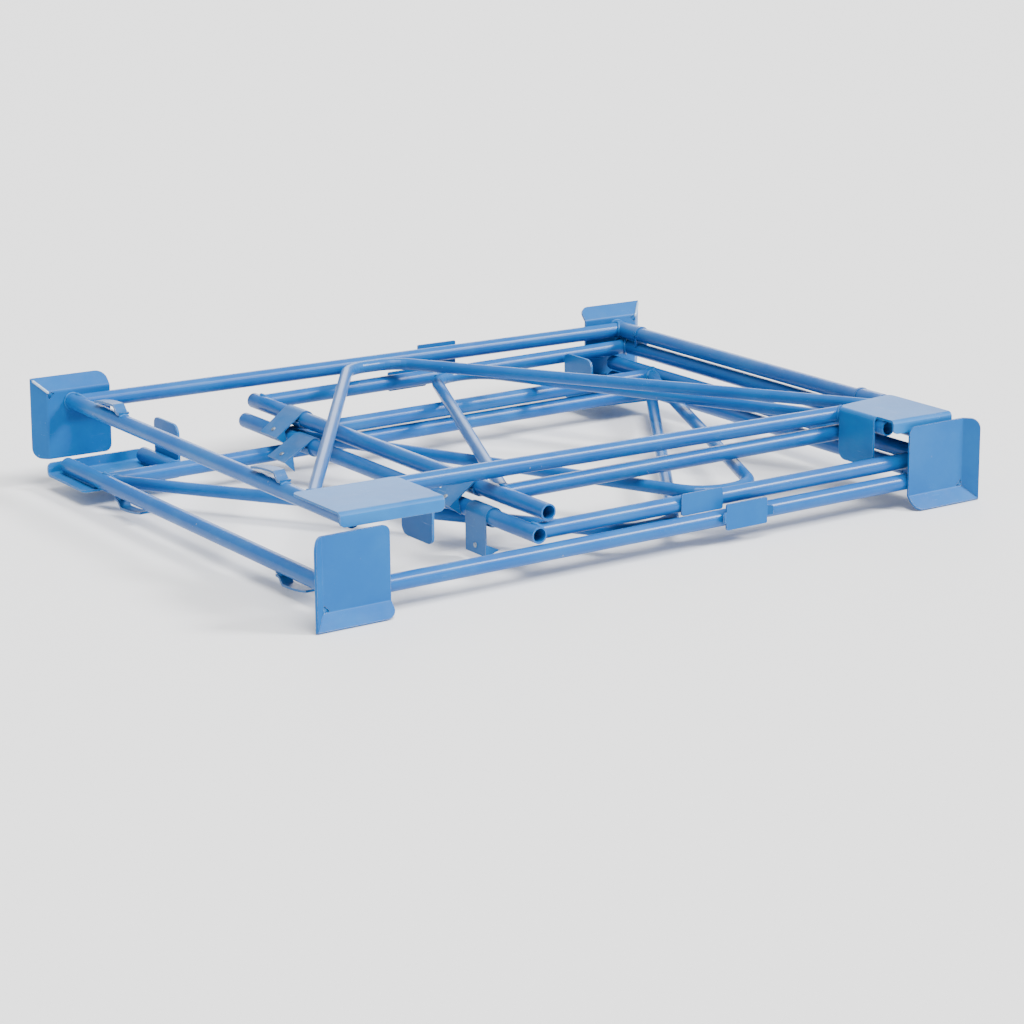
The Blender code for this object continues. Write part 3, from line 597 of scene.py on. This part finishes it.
def seam_piece(name, builder, place, body, *finishes):
    """Weld seams of one frame or gate as one piece, riding on that body."""
    bm = bmesh.new()
    builder(bm, place)
    bmesh.ops.recalc_face_normals(bm, faces=bm.faces)
    mesh = bpy.data.meshes.new(name)
    bm.to_mesh(mesh)
    bm.free()
    for finish in finishes:
        mesh.materials.append(finish)
    for poly in mesh.polygons:
        poly.use_smooth = True
    piece = bpy.data.objects.new(name, mesh)
    bpy.context.scene.collection.objects.link(piece)
    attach(piece, body)


seam_piece("lower_side_weld_seams", side_seams, LOWER, "lower_side_frame", WELD_COAT, MITRE_COAT_RUBBED_AND_HIGHLIGHT)
seam_piece("lower_gate_weld_seams", gate_seams, LOWER, "lower_gate", WELD_COAT)
seam_piece("upper_side_weld_seams", side_seams, UPPER_SIDE, "upper_side_frame", WELD_COAT, MITRE_COAT_RUBBED_AND_HIGHLIGHT)
seam_piece("upper_gate_weld_seams", gate_seams, UPPER, "upper_gate", WELD_COAT)


# floor, light and camera

def floor():
    bm = bmesh.new()
    bmesh.ops.create_grid(bm, x_segments=8, y_segments=8, size=40.0)
    mesh = bpy.data.meshes.new("studio_floor")
    bm.to_mesh(mesh)
    bm.free()
    mat = bpy.data.materials.new("pale_floor")
    mat.use_nodes = True
    bsdf = mat.node_tree.nodes["Principled BSDF"]
    bsdf.inputs["Base Color"].default_value = (0.90, 0.90, 0.90, 1)
    bsdf.inputs["Roughness"].default_value = 0.7
    mesh.materials.append(mat)
    ob = bpy.data.objects.new("studio_floor", mesh)
    ob.location.z = -0.0005
    bpy.context.scene.collection.objects.link(ob)


def lamp(name, strength, spread, azimuth, elevation):
    """Even light from far away: spread is its width as seen from the collar, in degrees."""
    data = bpy.data.lights.new(name, "SUN")
    data.energy = strength
    data.angle = math.radians(spread)
    ob = bpy.data.objects.new(name, data)
    turn, rise = math.radians(azimuth), math.radians(elevation)
    toward = Vector((math.cos(turn) * math.cos(rise), math.sin(turn) * math.cos(rise), math.sin(rise)))
    ob.rotation_euler = toward.to_track_quat("Z", "Y").to_euler()
    bpy.context.scene.collection.objects.link(ob)


floor()
lamp("ceiling_lamp", 4.1, 30, -98, 68)
lamp("streak_lamp", 4.0, 14, -42, 37)
lamp("back_lamp", 0.5, 24, 56, 16)

world = bpy.data.worlds.new("studio")
bpy.context.scene.world = world
world.use_nodes = True
world.node_tree.nodes["Background"].inputs["Color"].default_value = (1, 1, 1, 1)
world.node_tree.nodes["Background"].inputs["Strength"].default_value = 0.72

AZIMUTH = math.radians(-33.857)
ELEVATION = math.radians(15.423)
ROLL = math.radians(-0.486)
back = Vector((math.sin(AZIMUTH) * math.cos(ELEVATION), -math.cos(AZIMUTH) * math.cos(ELEVATION),
               math.sin(ELEVATION)))
right = (-back).cross(Vector((0, 0, 1))).normalized()
up = right.cross(-back)
turned_right = right * math.cos(ROLL) + up * math.sin(ROLL)
turned_up = up * math.cos(ROLL) - right * math.sin(ROLL)
camera_data = bpy.data.cameras.new("camera")
camera_data.lens = 104.18
camera_data.sensor_width = 36
camera_data.clip_end = 200
camera = bpy.data.objects.new("camera", camera_data)
place = Vector((-2.69303, -4.04754, 1.30821))
camera.matrix_world = Matrix.Translation(place) @ Matrix((turned_right, turned_up, back)).transposed().to_4x4()
bpy.context.scene.collection.objects.link(camera)
bpy.context.scene.camera = camera
